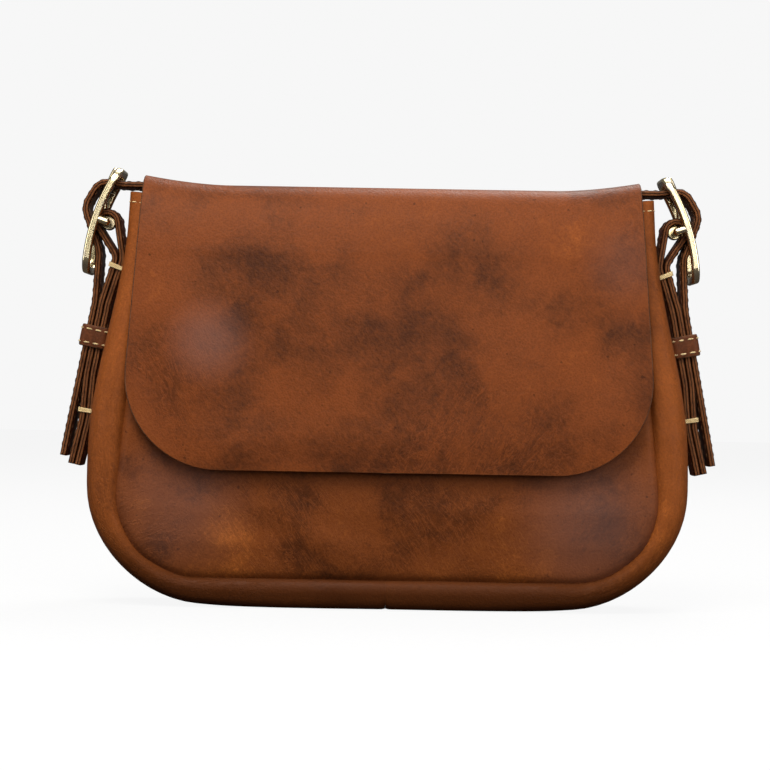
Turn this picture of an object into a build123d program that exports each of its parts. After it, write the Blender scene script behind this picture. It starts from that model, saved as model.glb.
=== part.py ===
from build123d import *

import math
import os

# Leather flap shoulder bag with side buckles, built in millimetres.
#
# Frame: origin at the centre of the base, +X along the bag's width, -Y out of the front, +Z up.
# The bag stands on its base with the flap closed. Its long strap is threaded through both side buckles,
# and the slack lies folded on the floor of the main compartment.
# Left-hand pieces are modelled at -X and mirrored to make the right-hand ones.

# ---- driving sizes -------------------------------------------------------------------------------------

LEATHER = 1.6  # panel leather
PLY = 2.8  # two thin layers glued and stitched: the strap and the side tabs
FLAP_THICK = 2.2
LINING = 0.7
LINING_GAP = 0.6  # air between leather and lining
LINING_INWARD = LEATHER + LINING_GAP
SEAM_GAP = 1.2  # between a panel's edge and the gusset sewn to it

SEAM_BOTTOM_Z = 13.0
PANEL_TOP_Z = 186.0
PANEL_TOP_X = 109.0
PANEL_CORNER_X = 126.2  # where the side line would meet the bottom line
PANEL_CORNER_R = 38.0

# Depth of each face from the middle plane, as (height, depth).
FRONT_DEPTH = [(13, 30.0), (45, 35.0), (80, 35.5), (125, 30.5), (186, 21.5)]
BACK_DEPTH = [(13, 29.0), (45, 32.0), (80, 32.0), (125, 28.0), (186, 20.5)]

# Side gusset, bottom centre to top: (share of the seam line, bulge past the seam, depth of the inward fold).
GUSSET_STATIONS = [
    (0.000, 13.4, 0.0),
    (0.100, 13.4, 0.0),
    (0.200, 13.4, 0.0),
    (0.301, 12.2, 0.0),
    (0.358, 9.9, 0.0),
    (0.415, 9.4, 0.0),
    (0.471, 11.2, 0.0),
    (0.528, 13.6, 0.2),
    (0.570, 14.4, 0.6),
    (0.620, 14.9, 1.6),
    (0.670, 14.4, 2.2),
    (0.730, 13.2, 2.4),
    (0.800, 11.2, 2.2),
    (0.870, 9.4, 2.2),
    (0.930, 8.0, 2.0),
    (1.000, 10.4, 2.0),
]

STRAP_W = 20.0
STRAP_TOP_Z = 191.2  # where the strap crosses the top of the gusset

FLAP_GAP = 5.4  # between the front panel and the inside of the flap
FLAP_TOP_Z = 191.4
FLAP_BOTTOM_Z = 62.5
FLAP_HALF_TOP = 112.0
FLAP_HALF_BOTTOM = 119.8
FLAP_CORNER_R = 42.0
FLAP_FOLD_Y = -17.5  # fold line at the front of the top
FLAP_HINGE_Y = 20.0  # fold line at the back of the top
FOLD_CLEARANCE = 1.5

BAR = (-129.9, 173.6)  # axis of the left buckle's centre bar, in X and Z
BAR_R = 1.6
BUCKLE_TOP = (-123.5, 198.3)
BUCKLE_BOW = 3.6  # how far the frame arches out past the line between its ends
BUCKLE_BOTTOM = (-139.0, 149.8)
BUCKLE_W = 30.0
BUCKLE_CORNER_R = 7.0
RAIL = 3.8
FRAME_THICK = 3.6
LUG_R = 1.85
PRONG_R = 1.15
COIL_R = 3.2

LOOP_R = 4.7  # centre line of the tab's loop round the bar
WRAP_R = 7.75  # centre line of the strap past that loop
WRAP_LEAVE_DEG = 200.0  # where the strap leaves the wrap on its way down
BELOW_WRAP = 10.9  # straight run below that point
ABOVE_WRAP = 10.3  # straight run above it
SHOULDER_TOP = (-133.6, 192.6)  # where the strap bows out through the buckle, before it turns in
UNDER_BAR = (-122.5, 191.2)  # where it has passed under the buckle's top bar
PRONG_HOLE = (-129.8, 192.1)
TAB_HALF_GAP = 0.1  # between the tab's two layers

# Centre line of the left side tab, from its free end to the upper bartack.
TAB_LINE = [(-143.0, 63.0), (-138.2, 84.2), (-136.6, 104.0), (-130.3, 137.0), (-124.0, 157.5)]
KEEPER_Z = 121.0
KEEPER_H = 10.0
KEEPER_WALL = 1.5
BARTACK_H = 1.9

FLOOR_Z = 6.5  # lowest layer of the folded slack
LAYER = 12.0  # between layers of the slack
HAIRPIN_X = 76.0
SIDE_X = 110.0  # where the strap drops from the mouth to the floor

HOLE_PITCH = 24.0
HOLE_L = 8.6
HOLE_W = 3.4

LINING_EDGE = 1.2  # the lining stops this far inside the panel's edge
LINING_TOP_Z = PANEL_TOP_Z - 2.0

POCKET_INWARD = LINING_INWARD + LINING + 0.3  # from the outside of the back to the pocket's outer face
POCKET_THICK = 1.0
POCKET_HALF_W = 80.0
POCKET_Z = (58.0, 134.0)
POCKET_CORNER_R = 10.0
TAPE_THICK = 0.7
TAPE_HALF_W = 76.0
TAPE_HALF_H = 6.5
TAPE_CORNER_R = 2.0
ZIP_Z = 141.0
ZIP_HALF = 66.0
TOOTH_PITCH = 3.0
SLIDER_SIZE = (9.0, 2.4, 8.0)
PULL_SIZE = (4.6, 1.2, 24.0)

SNAP_AT = 0.445  # share of the way up the front panel's profile
SOCKET_R = 9.0
SOCKET_HOLE_R = 3.6
SOCKET_H = 2.2
PATCH_R = 15.0
STUD_R = 8.5
STUD_LIFT = 2.4  # from the front panel's face to the stud's flange
PLENTY = 300.0  # longer than the whole bag


# ---- helpers -------------------------------------------------------------------------------------------


def between(table, at):
    """Straight-line reading of a (key, value) table."""
    for (k0, v0), (k1, v1) in zip(table, table[1:]):
        if at <= k1:
            break
    return v0 + (v1 - v0) * (at - k0) / (k1 - k0)


def unit(vector):
    length = math.hypot(*vector)
    return (vector[0] / length, vector[1] / length)


def shifted(points, side):
    """The points moved sideways by side, square to the line through them; plus is away from the bag."""
    moved = []
    for i, (x, z) in enumerate(points):
        before, after = points[max(i - 1, 0)], points[min(i + 1, len(points) - 1)]
        ux, uz = unit((after[0] - before[0], after[1] - before[1]))
        moved.append((x - uz * side, z + ux * side))
    return moved


def save(part, name):
    part.label = name
    os.makedirs("parts", exist_ok=True)
    export_step(part, f"parts/{name}.step")


def save_pair(part, name):
    """Writes the left piece and its mirror image."""
    save(part, name + "_left")
    save(mirror(part, about=Plane.YZ), name + "_right")


def panel_outline(inset, top_z):
    """Face of a body panel in the XZ plane, drawn as points for a filleted polygon."""
    slope = (PANEL_CORNER_X - PANEL_TOP_X) / (PANEL_TOP_Z - SEAM_BOTTOM_Z)
    low_z = SEAM_BOTTOM_Z + inset
    low_x = PANEL_CORNER_X - slope * (low_z - SEAM_BOTTOM_Z) - inset
    top_x = PANEL_CORNER_X - slope * (top_z - SEAM_BOTTOM_Z) - inset
    return [(-top_x, top_z), (-low_x, low_z), (low_x, low_z), (top_x, top_z)]


def panel(depths, side, inward, thick, inset, top_z):
    """A sheet on a face's depth profile, cut to the panel outline. side is -1 for the front, 1 for the back."""
    outer = [(side * (d - inward), z) for z, d in depths]
    inner = [(side * (d - inward - thick), z) for z, d in depths]
    with BuildPart() as sheet:
        with BuildSketch(Plane.YZ):
            with BuildLine():
                Spline(*outer)
                Line(outer[-1], inner[-1])
                Spline(*inner)
                Line(inner[0], outer[0])
            make_face()
        extrude(amount=PLENTY / 2, both=True)
        with BuildSketch(Plane.XZ):
            with BuildLine():
                radius = PANEL_CORNER_R - inset
                FilletPolyline(*panel_outline(inset, top_z), radius=radius)
                Line(panel_outline(inset, top_z)[-1], panel_outline(inset, top_z)[0])
            make_face()
        extrude(amount=PLENTY, both=True, mode=Mode.INTERSECT)
    return sheet.part


def gusset_section(bulge, fold, front, back):
    """Outer curve of the gusset as (distance past the seam, y), from the front seam to the back seam."""

    def half(depth):
        return [
            (SEAM_GAP, depth),
            (0.45 * bulge, 0.985 * depth),
            (0.85 * bulge, 0.90 * depth),
            (bulge, 0.74 * depth),
            (bulge - 0.55 * fold, 0.56 * depth),
            (bulge - fold, 0.36 * depth),
        ]

    front_half = [(n, -y) for n, y in half(front)]
    return front_half + [(bulge - fold, 0.0)] + half(back)[::-1]


def sunk(points, by):
    """The section's points moved inward, square to the curve."""
    moved = []
    for i, (n, y) in enumerate(points):
        before, after = points[max(i - 1, 0)], points[min(i + 1, len(points) - 1)]
        un, uy = unit((after[0] - before[0], after[1] - before[1]))
        moved.append((n - uy * by, y + un * by))
    return moved


def gusset():
    """Left half of the gusset, lofted round the seam line from the bottom centre to the mouth."""
    with BuildLine(Plane.XZ) as seam:
        corner, top = (-PANEL_CORNER_X, SEAM_BOTTOM_Z), (-PANEL_TOP_X, PANEL_TOP_Z)
        FilletPolyline((0, SEAM_BOTTOM_Z), corner, top, radius=PANEL_CORNER_R)
    path = seam.wire()
    with BuildPart() as shell:
        for share, bulge, fold in GUSSET_STATIONS:
            at, along = path @ share, path % share
            away = (-along.Z, 0, along.X)
            front, back = between(FRONT_DEPTH, at.Z), between(BACK_DEPTH, at.Z)
            outer = gusset_section(bulge, fold, front, back)
            inner = sunk(outer, LEATHER)
            with BuildSketch(Plane(origin=at, x_dir=away, z_dir=-along)):
                with BuildLine():
                    Spline(*outer)
                    Line(outer[-1], inner[-1])
                    Spline(*inner)
                    Line(inner[0], outer[0])
                make_face()
        loft(ruled=True)
    return shell.part


# ---- body: panels, gussets and lining --------------------------------------------------------------------

front_panel = panel(FRONT_DEPTH, -1, 0.0, LEATHER, 0.0, PANEL_TOP_Z)
save(front_panel, "front_panel")

back_panel = panel(BACK_DEPTH, 1, 0.0, LEATHER, 0.0, PANEL_TOP_Z)
save(back_panel, "back_panel")

with BuildPart() as side_gusset:
    add(gusset())
    with Locations((0, 0, -PLENTY / 2)):  # pressed flat where the bag stands
        Box(PLENTY, PLENTY, PLENTY, mode=Mode.SUBTRACT)
    with Locations((PLENTY / 2, 0, 0)):  # the halves meet in a seam under the middle
        Box(PLENTY, PLENTY, PLENTY, mode=Mode.SUBTRACT)
save_pair(side_gusset.part, "gusset")

lining_front = panel(FRONT_DEPTH, -1, LINING_INWARD, LINING, LINING_EDGE, LINING_TOP_Z)
save(lining_front, "lining_front")

lining_back = panel(BACK_DEPTH, 1, LINING_INWARD, LINING, LINING_EDGE, LINING_TOP_Z)
save(lining_back, "lining_back")

# ---- inside pocket with its zip, on the back lining ------------------------------------------------------


def back_sheet(inward, thick, half_width, low_z, high_z, corner):
    """A rectangular sheet lying on the inside of the back."""
    with BuildPart() as sheet:
        add(panel(BACK_DEPTH, 1, inward, thick, LINING_EDGE, LINING_TOP_Z))
        with BuildSketch(Plane.XZ):
            with Locations((0, (low_z + high_z) / 2)):
                RectangleRounded(2 * half_width, high_z - low_z, corner)
        extrude(amount=PLENTY, both=True, mode=Mode.INTERSECT)
    return sheet.part


inner_pocket = back_sheet(POCKET_INWARD, POCKET_THICK, POCKET_HALF_W, *POCKET_Z, POCKET_CORNER_R)
save(inner_pocket, "inner_pocket")

tape_z = (ZIP_Z - TAPE_HALF_H, ZIP_Z + TAPE_HALF_H)
zip_tape = back_sheet(POCKET_INWARD, TAPE_THICK, TAPE_HALF_W, *tape_z, TAPE_CORNER_R)
save(zip_tape, "zip_tape")

zip_y = between(BACK_DEPTH, ZIP_Z) - POCKET_INWARD - TAPE_THICK  # inner face of the tape
with BuildPart() as zip_teeth:
    tooth_count = round(2 * ZIP_HALF / TOOTH_PITCH)
    with Locations((0, zip_y - 1.0, ZIP_Z)):
        with GridLocations(TOOTH_PITCH, 0, tooth_count, 1):
            Box(1.8, 1.0, 3.6)
    with Locations((0, zip_y - 0.9, ZIP_Z)):  # the cord the teeth are clamped to
        Box(2 * ZIP_HALF, 0.8, 1.2)
save(zip_teeth.part, "zip_teeth")

SLIDER_X = -ZIP_HALF + 4.0
SLIDER_Y = zip_y - 3.1  # middle of the slider's thickness
with BuildPart() as zip_slider:
    with Locations((SLIDER_X, SLIDER_Y, ZIP_Z)):
        Box(*SLIDER_SIZE)
    fillet(zip_slider.edges().filter_by(Axis.Y), 2.0)
    with Locations((SLIDER_X - 3.2, SLIDER_Y - 2.2, ZIP_Z), (SLIDER_X + 3.2, SLIDER_Y - 2.2, ZIP_Z)):
        Box(1.0, 3.2, 2.6)
    with Locations((SLIDER_X, SLIDER_Y - 2.6, ZIP_Z)):
        Cylinder(0.7, 6.8, rotation=(0, 90, 0))
save(zip_slider.part, "zip_slider")

with BuildPart() as zip_pull:
    with Locations((SLIDER_X, SLIDER_Y - 2.6, ZIP_Z)):
        Cylinder(1.3, 4.6, rotation=(0, 90, 0))
    with Locations((SLIDER_X, SLIDER_Y - 3.3, ZIP_Z - PULL_SIZE[2] / 2)):
        Box(*PULL_SIZE)
    fillet(zip_pull.edges().filter_by(Axis.Y).group_by(Axis.Z)[0], 2.2)
    with Locations((SLIDER_X, SLIDER_Y - 2.6, ZIP_Z)):
        Cylinder(0.85, 10.0, rotation=(0, 90, 0), mode=Mode.SUBTRACT)
save(zip_pull.part, "zip_pull")

# ---- flap in two leaves: the top, and the front with its bend ---------------------------------------------

leaf_z = FLAP_TOP_Z - FLAP_THICK / 2
with BuildPart() as flap_top:
    with BuildSketch(Plane.XZ.offset(-(FLAP_HINGE_Y - FOLD_CLEARANCE))):
        with BuildLine():
            # Level in the middle, lifted at each end by the strap that passes under it.
            right = [(80, leaf_z), (96, leaf_z + 0.9), (FLAP_HALF_TOP, leaf_z + 4.0)]
            left = [(-x, z) for x, z in right[::-1]]
            Spline(*left, (0, leaf_z), *right)
        trace(line_width=FLAP_THICK)
    extrude(amount=FLAP_HINGE_Y - FLAP_FOLD_Y - 2 * FOLD_CLEARANCE)
save(flap_top.part, "flap_top")

flap_middle = FLAP_GAP + FLAP_THICK / 2  # from the front panel's face to the middle of the flap
drop = [(-between(FRONT_DEPTH, z) - flap_middle, z) for z in (FLAP_BOTTOM_Z, 90, 125, 160)]
drop += [(-27.6, 181.0), (-24.6, 188.2), (FLAP_FOLD_Y - FOLD_CLEARANCE, leaf_z)]


def flap_sheet(middle_shift, thick):
    """Full-width sheet parallel to the front of the flap, moved towards the bag by middle_shift."""
    with BuildPart() as sheet:
        with BuildSketch(Plane.YZ):
            with BuildLine():
                Spline(*[(y + middle_shift, z) for y, z in drop])
            trace(line_width=thick)
        extrude(amount=PLENTY / 2, both=True)
    return sheet.part


with BuildPart() as flap_front:
    add(flap_sheet(0.0, FLAP_THICK))
    with BuildSketch(Plane.XZ):
        with BuildLine():
            low, high = (FLAP_HALF_BOTTOM, FLAP_BOTTOM_Z), (FLAP_HALF_TOP, FLAP_TOP_Z + 1)
            corners = [(-high[0], high[1]), (-low[0], low[1]), low, high]
            FilletPolyline(*corners, radius=FLAP_CORNER_R)
            Line(corners[-1], corners[0])
        make_face()
    extrude(amount=PLENTY, both=True, mode=Mode.INTERSECT)
save(flap_front.part, "flap_front")

# ---- magnetic snap: cup on the front panel, stud and patch inside the flap --------------------------------

with BuildLine(Plane.YZ) as front_profile:
    Spline(*[(-d, z) for z, d in FRONT_DEPTH])
snap_point = front_profile.wire() @ SNAP_AT
snap_along = front_profile.wire() % SNAP_AT
outward = Vector(0, -snap_along.Z, snap_along.Y)
snap_plane = Plane(origin=snap_point, x_dir=(1, 0, 0), z_dir=outward)

with BuildPart() as snap_socket:
    with BuildSketch(snap_plane.offset(0.1)):
        Circle(SOCKET_R)
        Circle(SOCKET_HOLE_R, mode=Mode.SUBTRACT)
    extrude(amount=SOCKET_H)
    rims = snap_socket.edges().filter_by(GeomType.CIRCLE).group_by(SortBy.RADIUS)[-1]
    fillet(rims.sort_by(Axis.Y)[0], 0.6)
save(snap_socket.part, "snap_socket")

with BuildPart() as snap_patch:
    add(flap_sheet(FLAP_THICK / 2 + 0.55, 0.8))
    with BuildSketch(snap_plane):
        Circle(PATCH_R)
    extrude(amount=20, mode=Mode.INTERSECT)
save(snap_patch.part, "snap_patch")

with BuildPart() as snap_stud:
    with BuildSketch(snap_plane.offset(STUD_LIFT)):
        Circle(STUD_R)
    extrude(amount=0.9)
    with BuildSketch(snap_plane.offset(STUD_LIFT)):
        Circle(2.2)
    extrude(amount=-1.6, taper=12)
save(snap_stud.part, "snap_stud")

# ---- side tabs, threaded strap, keepers -------------------------------------------------------------------


def touch_angle(point, side):
    """Angle on the loop, in degrees, where a straight line from point touches it."""
    away_x, away_z = point[0] - BAR[0], point[1] - BAR[1]
    swing = math.acos(LOOP_R / math.hypot(away_x, away_z))
    return math.degrees(math.atan2(away_z, away_x) + side * swing)


def on_loop(angle):
    turned = math.radians(angle)
    return (BAR[0] + LOOP_R * math.cos(turned), BAR[1] + LOOP_R * math.sin(turned))


tab_half = PLY / 2 + TAB_HALF_GAP
inner_layer = shifted(TAB_LINE, -tab_half)  # bag side
outer_layer = shifted(TAB_LINE, tab_half)[::-1]
enter = touch_angle(inner_layer[-1], 1)
leave = touch_angle(outer_layer[0], -1) + 360
with BuildPart() as side_tab:
    with BuildSketch(Plane.XZ):
        with BuildLine():
            FilletPolyline(*inner_layer, on_loop(enter), radius=[30, 30, 30, 8])
            CenterArc(BAR, LOOP_R, enter, leave - enter)
            FilletPolyline(on_loop(leave), *outer_layer, radius=[6, 30, 30, 30])
        trace(line_width=PLY)
    extrude(amount=STRAP_W / 2, both=True)
    with Locations((BAR[0], 0, BAR[1] + 3.0)):  # slot for the prong's coil
        Box(16.0, 6.4, 10.0, mode=Mode.SUBTRACT)
save_pair(side_tab.part, "side_tab")

keeper_share = (KEEPER_Z - TAB_LINE[2][1]) / (TAB_LINE[3][1] - TAB_LINE[2][1])
keeper_x = TAB_LINE[2][0] + keeper_share * (TAB_LINE[3][0] - TAB_LINE[2][0])
up_x, up_z = unit((TAB_LINE[3][0] - TAB_LINE[2][0], TAB_LINE[3][1] - TAB_LINE[2][1]))
out_x, out_z = -up_z, up_x  # away from the bag, square to the tab

tab_face = PLY + TAB_HALF_GAP  # from the tab's centre line to its outer face
tail_offset = tab_face + 0.15 + PLY / 2
bundle_out = tab_face + 0.15 + PLY
bundle_mid = (bundle_out - tab_face) / 2
bundle_thick = bundle_out + tab_face

tail_low = (TAB_LINE[2][0] + out_x * tail_offset, TAB_LINE[2][1] + out_z * tail_offset)
tail_high = (TAB_LINE[3][0] + out_x * tail_offset, TAB_LINE[3][1] + out_z * tail_offset)
down = math.radians(WRAP_LEAVE_DEG)
leave_at = (BAR[0] + WRAP_R * math.cos(down), BAR[1] + WRAP_R * math.sin(down))
leave_dir = (-math.sin(down), math.cos(down))
below_wrap = (leave_at[0] + leave_dir[0] * BELOW_WRAP, leave_at[1] + leave_dir[1] * BELOW_WRAP)
shoulder_low = (leave_at[0] - leave_dir[0] * ABOVE_WRAP, leave_at[1] - leave_dir[1] * ABOVE_WRAP)

outside = [(-148.2, 67.0), tail_low, tail_high, below_wrap, shoulder_low, SHOULDER_TOP, UNDER_BAR]
outside.append((-104.0, STRAP_TOP_Z))
outside_r = [40, 40, 14, 9, 7, 14, 9]
turn = LAYER / 2
inside = [
    (-SIDE_X, FLOOR_Z),
    (HAIRPIN_X, FLOOR_Z),
    (HAIRPIN_X, FLOOR_Z + LAYER),
    (-HAIRPIN_X, FLOOR_Z + LAYER),
    (-HAIRPIN_X, FLOOR_Z + 2 * LAYER),
    (SIDE_X, FLOOR_Z + 2 * LAYER),
]
inside_r = [22, turn * 0.999, turn * 0.999, turn * 0.999, turn * 0.999, 22]
far_side = [(-x, z) for x, z in outside[::-1]]
strap_points = [*outside, *inside, *far_side]
strap_radii = [*outside_r, *inside_r, *outside_r[::-1]]
with BuildLine(Plane.XZ) as strap_line:
    FilletPolyline(*strap_points, radius=strap_radii)
strap_path = strap_line.wire()


def distance_to_prong_hole():
    """Arc length from the strap's left tip to the hole the prong uses."""
    steps = 400
    span = 200.0
    best = min(range(steps), key=lambda i: hole_miss(span * i / steps))
    return span * best / steps


def hole_miss(length):
    at = strap_path.position_at(length, position_mode=PositionMode.LENGTH)
    return math.hypot(at.X - PRONG_HOLE[0], at.Z - PRONG_HOLE[1])


prong_hole = distance_to_prong_hole()
hole_lengths = [prong_hole + HOLE_PITCH * i for i in (-4, -3, -2, -1, 0, 1, 2)]
with BuildPart() as shoulder_strap:
    with BuildSketch(Plane.XZ):
        with BuildLine():
            FilletPolyline(*strap_points, radius=strap_radii)
        trace(line_width=PLY)
    extrude(amount=STRAP_W / 2, both=True)
    for length in hole_lengths:
        at = strap_path.position_at(length, position_mode=PositionMode.LENGTH)
        along = strap_path.tangent_at(length, position_mode=PositionMode.LENGTH)
        for flip in (1, -1):
            origin, x_dir = (flip * at.X, 0, at.Z), (flip * along.X, 0, along.Z)
            z_dir = (-along.Z * flip, 0, along.X)
            with BuildSketch(Plane(origin=origin, x_dir=x_dir, z_dir=z_dir)):
                SlotOverall(HOLE_L, HOLE_W)
            extrude(amount=PLY, both=True, mode=Mode.SUBTRACT)
save(shoulder_strap.part, "shoulder_strap")

keeper_plane = Plane(
    origin=(keeper_x + out_x * bundle_mid, 0, KEEPER_Z + out_z * bundle_mid),
    x_dir=(out_x, 0, out_z),
    z_dir=(up_x, 0, up_z),
)
with BuildPart() as keeper:
    with BuildSketch(keeper_plane):
        inner_x, inner_y = bundle_thick + 0.6, STRAP_W + 0.8
        RectangleRounded(inner_x + 2 * KEEPER_WALL, inner_y + 2 * KEEPER_WALL, 2.4)
        RectangleRounded(inner_x, inner_y, 1.0, mode=Mode.SUBTRACT)
    extrude(amount=KEEPER_H / 2, both=True)
save_pair(keeper.part, "keeper")


def edge_wraps(low, high, share):
    """Thread wrapped round both edges of the side tab, part of the way between two of its points."""
    ux, uz = unit((high[0] - low[0], high[1] - low[1]))
    x, z = low[0] + share * (high[0] - low[0]), low[1] + share * (high[1] - low[1])
    with BuildPart() as wraps:
        with BuildSketch(Plane(origin=(x, 0, z), x_dir=(-uz, 0, ux), z_dir=(ux, 0, uz))):
            RectangleRounded(2 * tab_face + 2.0, STRAP_W + 2.2, 1.0)
            RectangleRounded(2 * tab_face + 0.3, STRAP_W + 0.3, 0.2, mode=Mode.SUBTRACT)
            Rectangle(40, STRAP_W - 6.0, mode=Mode.SUBTRACT)
        extrude(amount=BARTACK_H / 2, both=True)
    return wraps.part


save_pair(edge_wraps(TAB_LINE[3], TAB_LINE[4], 0.80), "upper_bartack")
save_pair(edge_wraps(TAB_LINE[1], TAB_LINE[2], 0.17), "lower_bartack")

# ---- buckles: one curved frame with a fixed centre bar, and a loose prong ---------------------------------

chord = (BUCKLE_BOTTOM[0] - BUCKLE_TOP[0], BUCKLE_BOTTOM[1] - BUCKLE_TOP[1])
chord_length = math.hypot(*chord)
down_x, down_z = unit(chord)
face_x, face_z = down_z, -down_x  # out of the buckle's face, away from the bag
chord_mid = ((BUCKLE_TOP[0] + BUCKLE_BOTTOM[0]) / 2, 0, (BUCKLE_TOP[1] + BUCKLE_BOTTOM[1]) / 2)
frame_plane = Plane(origin=chord_mid, x_dir=(down_x, 0, down_z), z_dir=(face_x, 0, face_z))

arch_r = (chord_length**2 / 4 + BUCKLE_BOW**2) / (2 * BUCKLE_BOW)
arch_top = (chord_mid[0] + face_x * BUCKLE_BOW, chord_mid[2] + face_z * BUCKLE_BOW)


def on_arch(along):
    """Point on the frame's arch, measured along the line between its ends from the middle."""
    sink = arch_r - math.sqrt(arch_r**2 - along**2)
    return (arch_top[0] + down_x * along - face_x * sink, arch_top[1] + down_z * along - face_z * sink)


with BuildPart() as buckle_frame:
    with BuildSketch(Plane.XZ):
        with BuildLine():
            ThreePointArc(on_arch(-0.56 * chord_length), arch_top, on_arch(0.56 * chord_length))
        trace(line_width=FRAME_THICK)
    extrude(amount=BUCKLE_W / 2 + 1, both=True)
    with BuildSketch(frame_plane):
        RectangleRounded(chord_length - 0.4, BUCKLE_W, BUCKLE_CORNER_R)
        RectangleRounded(chord_length - 0.4 - 2 * RAIL, BUCKLE_W - 2 * RAIL, 3.6, mode=Mode.SUBTRACT)
    extrude(amount=15, both=True, mode=Mode.INTERSECT)
    rims = buckle_frame.edges().filter_by(lambda edge: abs((edge % 0.5).dot(frame_plane.z_dir)) < 0.7)
    fillet(rims, 1.1)
    with BuildSketch(Plane.XZ):
        with Locations(BAR):
            Circle(BAR_R)
    extrude(amount=(BUCKLE_W - RAIL) / 2, both=True)
    rail_y = (BUCKLE_W - RAIL) / 2
    lug_length = math.hypot(arch_top[0] - BAR[0], arch_top[1] - BAR[1])
    for y in (-rail_y, rail_y):
        lug_plane = Plane(
            origin=(BAR[0], y, BAR[1]),
            x_dir=(0, 1, 0),
            z_dir=(arch_top[0] - BAR[0], 0, arch_top[1] - BAR[1]),
        )
        with BuildSketch(lug_plane):
            Circle(LUG_R)
        extrude(amount=lug_length)
        with Locations((BAR[0], y, BAR[1])):
            Sphere(LUG_R)
save_pair(buckle_frame.part, "buckle_frame")

prong_root = (BAR[0] - 2.0, BAR[1] + 1.2)
prong_tip = (BUCKLE_TOP[0] - 4.0, BUCKLE_TOP[1] - 0.2)
with BuildPart() as prong:
    with BuildSketch(Plane.XZ):
        with Locations(BAR):
            Circle(COIL_R)
    extrude(amount=2.3, both=True)
    fillet(prong.edges(), 0.5)
    with BuildLine(Plane.XZ) as shank:
        Spline(prong_root, (BAR[0] - 2.0, BAR[1] + 9.0), prong_tip, tangents=[(-0.1, 1), (0.62, 1)])
    with BuildSketch(Plane(origin=shank.wire() @ 0, z_dir=shank.wire() % 0)):
        Circle(PRONG_R)
    sweep(path=shank.wire())
    with Locations((prong_tip[0], 0, prong_tip[1])):
        Sphere(PRONG_R)
    with BuildSketch(Plane.XZ):
        with Locations(BAR):
            Circle(BAR_R + 0.1)
    extrude(amount=10, both=True, mode=Mode.SUBTRACT)
save_pair(prong.part, "prong")
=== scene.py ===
"""The looks of a small leather flap bag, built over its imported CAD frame.

Sizes in the helpers are millimetres; meshes are made in metres.
"""

import math

import bpy
import numpy as np
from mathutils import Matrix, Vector


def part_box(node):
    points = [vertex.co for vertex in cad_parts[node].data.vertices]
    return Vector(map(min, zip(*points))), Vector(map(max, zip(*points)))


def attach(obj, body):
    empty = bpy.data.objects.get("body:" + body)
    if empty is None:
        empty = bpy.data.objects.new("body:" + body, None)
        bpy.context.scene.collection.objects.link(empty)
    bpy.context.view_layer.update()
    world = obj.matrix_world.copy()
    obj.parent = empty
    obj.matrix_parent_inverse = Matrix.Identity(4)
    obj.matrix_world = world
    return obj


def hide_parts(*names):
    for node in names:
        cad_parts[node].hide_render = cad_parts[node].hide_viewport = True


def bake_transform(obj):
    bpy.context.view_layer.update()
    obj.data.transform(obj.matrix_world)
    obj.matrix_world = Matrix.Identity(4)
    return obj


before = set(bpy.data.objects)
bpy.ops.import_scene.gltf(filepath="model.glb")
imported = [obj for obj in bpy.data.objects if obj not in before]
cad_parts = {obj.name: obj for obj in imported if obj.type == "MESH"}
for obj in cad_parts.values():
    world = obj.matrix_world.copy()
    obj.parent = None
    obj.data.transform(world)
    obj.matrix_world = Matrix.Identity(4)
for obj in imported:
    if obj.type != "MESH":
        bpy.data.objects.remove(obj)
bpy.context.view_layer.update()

MM = 0.001


def box_mm(node):
    low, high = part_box(node)
    return np.array(low) / MM, np.array(high) / MM


# ---- curves and meshes ---------------------------------------------------------------------------------


def unit(v):
    return v / np.maximum(np.linalg.norm(v, axis=-1, keepdims=True), 1e-12)


def smooth_path(points, step, closed=False):
    """Points of a Catmull-Rom curve through points, evenly spaced about step apart."""
    p = np.array(points, float)
    ring = np.vstack([p[-1], p, p[0], p[1]]) if closed else np.vstack([2 * p[0] - p[1], p, 2 * p[-1] - p[-2]])
    fine = []
    for a, b, c, d in zip(ring, ring[1:], ring[2:], ring[3:]):
        t = np.linspace(0, 1, 24, endpoint=False)[:, None]
        fine.append(0.5 * (2 * b + (c - a) * t + (2 * a - 5 * b + 4 * c - d) * t**2 + (3 * b - a - 3 * c
            + d) * t**3))
    fine = np.vstack(fine + [ring[-2][None]])
    return respaced(fine, step)


def respaced(line, step=None, count=None):
    """The polyline with its points spread evenly."""
    run = arc(line)
    count = count or max(2, int(round(run[-1] / step)) + 1)
    at = np.linspace(0, run[-1], count)
    return np.stack([np.interp(at, run, line[:, k]) for k in range(line.shape[1])], 1)


def arc(line):
    """Running length along a polyline."""
    return np.concatenate([[0], np.cumsum(np.linalg.norm(np.diff(line, axis=0), axis=1))])


def rounded(points, radii, step):
    """A polyline in any dimension with its inner corners rounded, evenly spaced."""
    p = [np.array(q, float) for q in points]
    out = [p[0]]
    for i in range(1, len(p) - 1):
        a, b, c = p[i - 1], p[i], p[i + 1]
        ua, uc = unit(a - b), unit(c - b)
        half = math.acos(float(np.clip(np.dot(ua, uc), -1, 1))) / 2
        r = radii[i - 1]
        cut = min(r / math.tan(half), 0.499 * np.linalg.norm(a - b) * 2, 0.499 * np.linalg.norm(c - b) * 2)
        r = cut * math.tan(half)
        middle = b + unit(ua + uc) * (r / math.sin(half))
        first, last = b + ua * cut - middle, b + uc * cut - middle
        turn = math.pi - 2 * half
        for t in np.linspace(0, 1, max(3, int(turn / 0.12) + 2)):
            out.append(middle + (np.sin((1 - t) * turn) * first + np.sin(t * turn) * last) / math.sin(turn))
    out.append(p[-1])
    out = np.array(out)
    keep = np.concatenate([[True], np.linalg.norm(np.diff(out, axis=0), axis=1) > 1e-6])
    return respaced(out[keep], step)


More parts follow.
